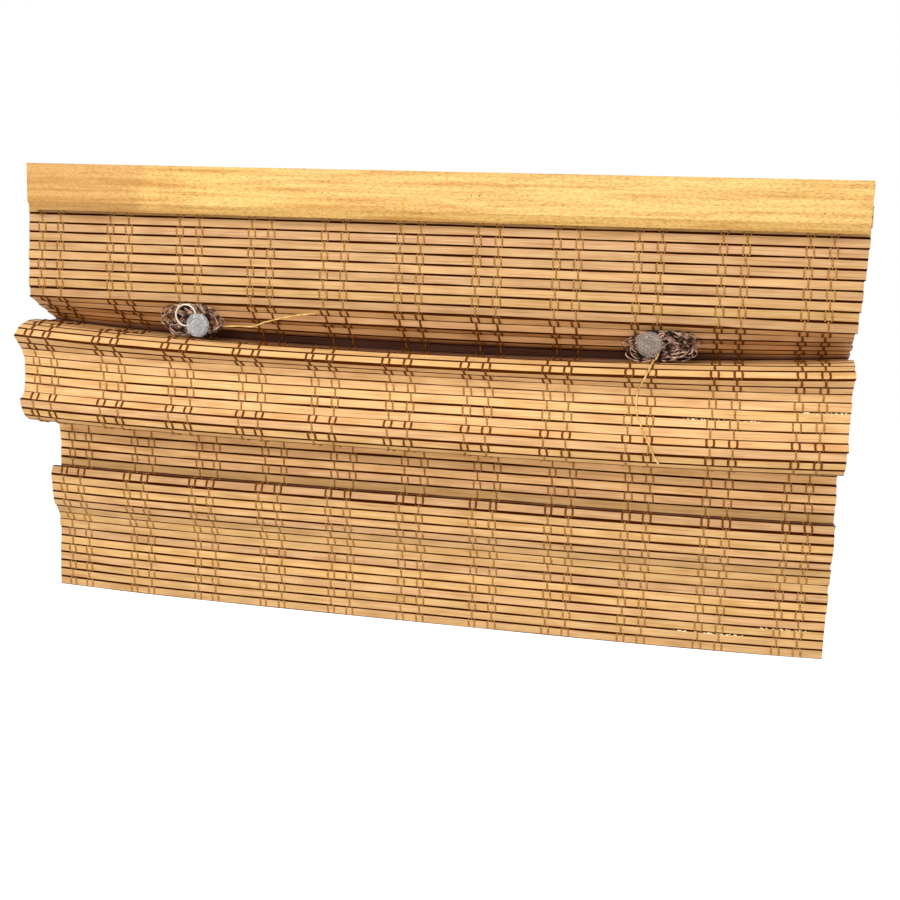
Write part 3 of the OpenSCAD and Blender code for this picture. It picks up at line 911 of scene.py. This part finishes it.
# Slats of each run on the outward folds, where the thread is swollen and darkened as painted shade
FOLD_SHADE_PLACES = {
    "tuck": range(6), "crest": range(9), "front_panel": (0, 1, 7), "return": (0,), "bottom_panel": (0,)}
FOLD_SHADE_SLATS = {FIRST[run] + k for run, places in FOLD_SHADE_PLACES.items() for k in places}
FOLD_THREAD_SWELL = 1.25
# A thread's points down each slat, in shares of its width, and how far it stands out there, of its reach
THREAD_ARCH = ((0.0, 0.0), (0.14, 0.8), (0.5, 1.0), (0.86, 0.8))
# Share of its diameter by which a thread's middle stands off the slat
THREAD_BED = 0.4
# How a thread strays on each slat, in millimetres
THREAD_SWAY = 0.5
THREAD_LEANS = (0.2, 1.1)
# How far the outer threads close in on the middle one between two slats
THREAD_CLOSING = 0.7 * MM


class SHADE_OT_warp(bpy.types.Operator):
    """Weave the warp threads over and under the slats, group by group"""

    bl_idname = "shade.warp"
    bl_label = "Warp threads"

    def execute(self, context):
        sizes, colours = context.scene.shade_sizes, context.scene.shade_colours
        finish = spun_finish(
            "cotton_thread_spun_and_dyed", colours.thread_dark, colours.thread, ply=1.4 * MM,
            roughness=0.75)
        # Painted shade on the folds, darker than the thread
        worn = spun_finish(
            "cotton_thread_spun_with_fold_shade", colours.bamboo_edge, colours.thread_fold_shade, ply=1.4 * MM,
            roughness=0.75)
        pitch = (MAT_LENGTH - sizes.first_group - sizes.last_group) / (WARP_GROUPS - 1)
        for group in range(WARP_GROUPS):
            middle = MAT_LOW.x + sizes.first_group + group * pitch
            routes = []
            for side in (-1, 1):
                column = middle + side * sizes.column_spread / 2
                for lane in (-1, 0, 1):
                    draw = random.Random(100 * group + 10 * side + lane)
                    routes += self.stretches(self.thread(column, lane, sizes, draw))
            name = f"warp_{group + 1:02d}"
            piece = curve_piece(
                name + "_threads", [route for _, route in routes], sizes.thread_diameter, finish)
            piece.data.materials.append(worn)
            for line, (in_fold_shade, _) in zip(piece.data.splines, routes):
                line.material_index = int(in_fold_shade)
                line.points.foreach_set("radius", [FOLD_THREAD_SWELL if in_fold_shade else 1.0] * len(line.points))
            finish_piece(piece, [name])
        return {"FINISHED"}

    def stretches(self, route):
        """Parts a thread into its stretches in painted fold shade and its plain ones, each up to the next
        one's start.
        """
        made = []
        points = len(THREAD_ARCH)
        for in_fold_shade, slats in groupby(range(SLAT_COUNT), FOLD_SHADE_SLATS.__contains__):
            slats = list(slats)
            made.append((in_fold_shade, route[points * slats[0]:points * (slats[-1] + 1) + 1]))
        return made

    def thread(self, column, lane, sizes, draw):
        """A column's thread: the outer two pass in front of even slats, the middle one of odd slats."""
        route = []
        x = column + lane * sizes.thread_spread
        joints, angles, _ = fold_line(round(x, 5))
        reach = SLAT_THICKNESS / 2 + THREAD_BED * sizes.thread_diameter
        for k in range(SLAT_COUNT):
            front = (k % 2 == 0) == (lane != 0)
            sway = draw.uniform(-THREAD_SWAY, THREAD_SWAY) * MM
            lean = draw.uniform(*THREAD_LEANS) * MM
            for share, out in THREAD_ARCH:
                spot = joints[k].lerp(joints[k + 1], share)
                spot = spot + nearward(angles[k]) * reach * out * (1 if front else -1)
                aside = (sway + lean * (share - 0.5)) * out - lane * THREAD_CLOSING * (1 - out)
                route.append(Vector((x + aside, *spot)))
        return route


class SHADE_OT_rail(bpy.types.Operator):
    """Finish the pine headrail and the staples that hold the mat to it"""

    bl_idname = "shade.rail"
    bl_label = "Headrail and staples"

    def execute(self, context):
        colours = context.scene.shade_colours
        for name, finish in (("headrail", pine_finish(colours)), ("mat_staples", steel_finish(colours))):
            dress_node(name, finish)
        return {"FINISHED"}


class SHADE_OT_discs(bpy.types.Operator):
    """Finish the clear discs and the thin ring on the lift cords"""

    bl_idname = "shade.discs"
    bl_label = "Discs and ring"

    def execute(self, context):
        colours = context.scene.shade_colours
        frosted = clear_finish("acrylic_moulded_and_frosted", colours.clear, transmission=0.78)
        clear = clear_finish("acrylic_moulded_and_polished", colours.clear_warm, transmission=0.86)
        cream = clear_finish("nylon_moulded_cream", colours.ring, transmission=0.0)
        for name, finish in (("orb_left", frosted), ("orb_right", clear), ("ring_left", cream)):
            dress_node(name, finish)
        return {"FINISHED"}


PIECES = (SHADE_OT_stage, SHADE_OT_lift_cords, SHADE_OT_ties, SHADE_OT_slats, SHADE_OT_warp,
          SHADE_OT_rail, SHADE_OT_discs)


class SHADE_PT_pieces(bpy.types.Panel):
    """Lists the shade's pieces in the order that they are made"""

    bl_idname = "SHADE_PT_pieces"
    bl_label = "Bamboo roman shade"
    bl_space_type = "VIEW_3D"
    bl_region_type = "UI"
    bl_category = "Shade"

    def draw(self, context):
        for piece in PIECES:
            self.layout.operator(piece.bl_idname)
        for group in (context.scene.shade_sizes, context.scene.shade_colours):
            for key in group.bl_rna.properties.keys():
                if key not in ("rna_type", "name"):
                    self.layout.prop(group, key)


CLASSES = (SHADE_PG_sizes, SHADE_PG_colours, *PIECES, SHADE_PT_pieces)


def register():
    for kind in CLASSES:
        bpy.utils.register_class(kind)
    bpy.types.Scene.shade_sizes = bpy.props.PointerProperty(type=SHADE_PG_sizes)
    bpy.types.Scene.shade_colours = bpy.props.PointerProperty(type=SHADE_PG_colours)


def unregister():
    del bpy.types.Scene.shade_colours
    del bpy.types.Scene.shade_sizes
    for kind in reversed(CLASSES):
        bpy.utils.unregister_class(kind)


def main():
    register()
    bpy.ops.shade.stage()
    bpy.ops.shade.lift_cords()
    bpy.ops.shade.ties()
    bpy.ops.shade.slats()
    bpy.ops.shade.warp()
    bpy.ops.shade.rail()
    bpy.ops.shade.discs()


if __name__ == "__main__":
    main()
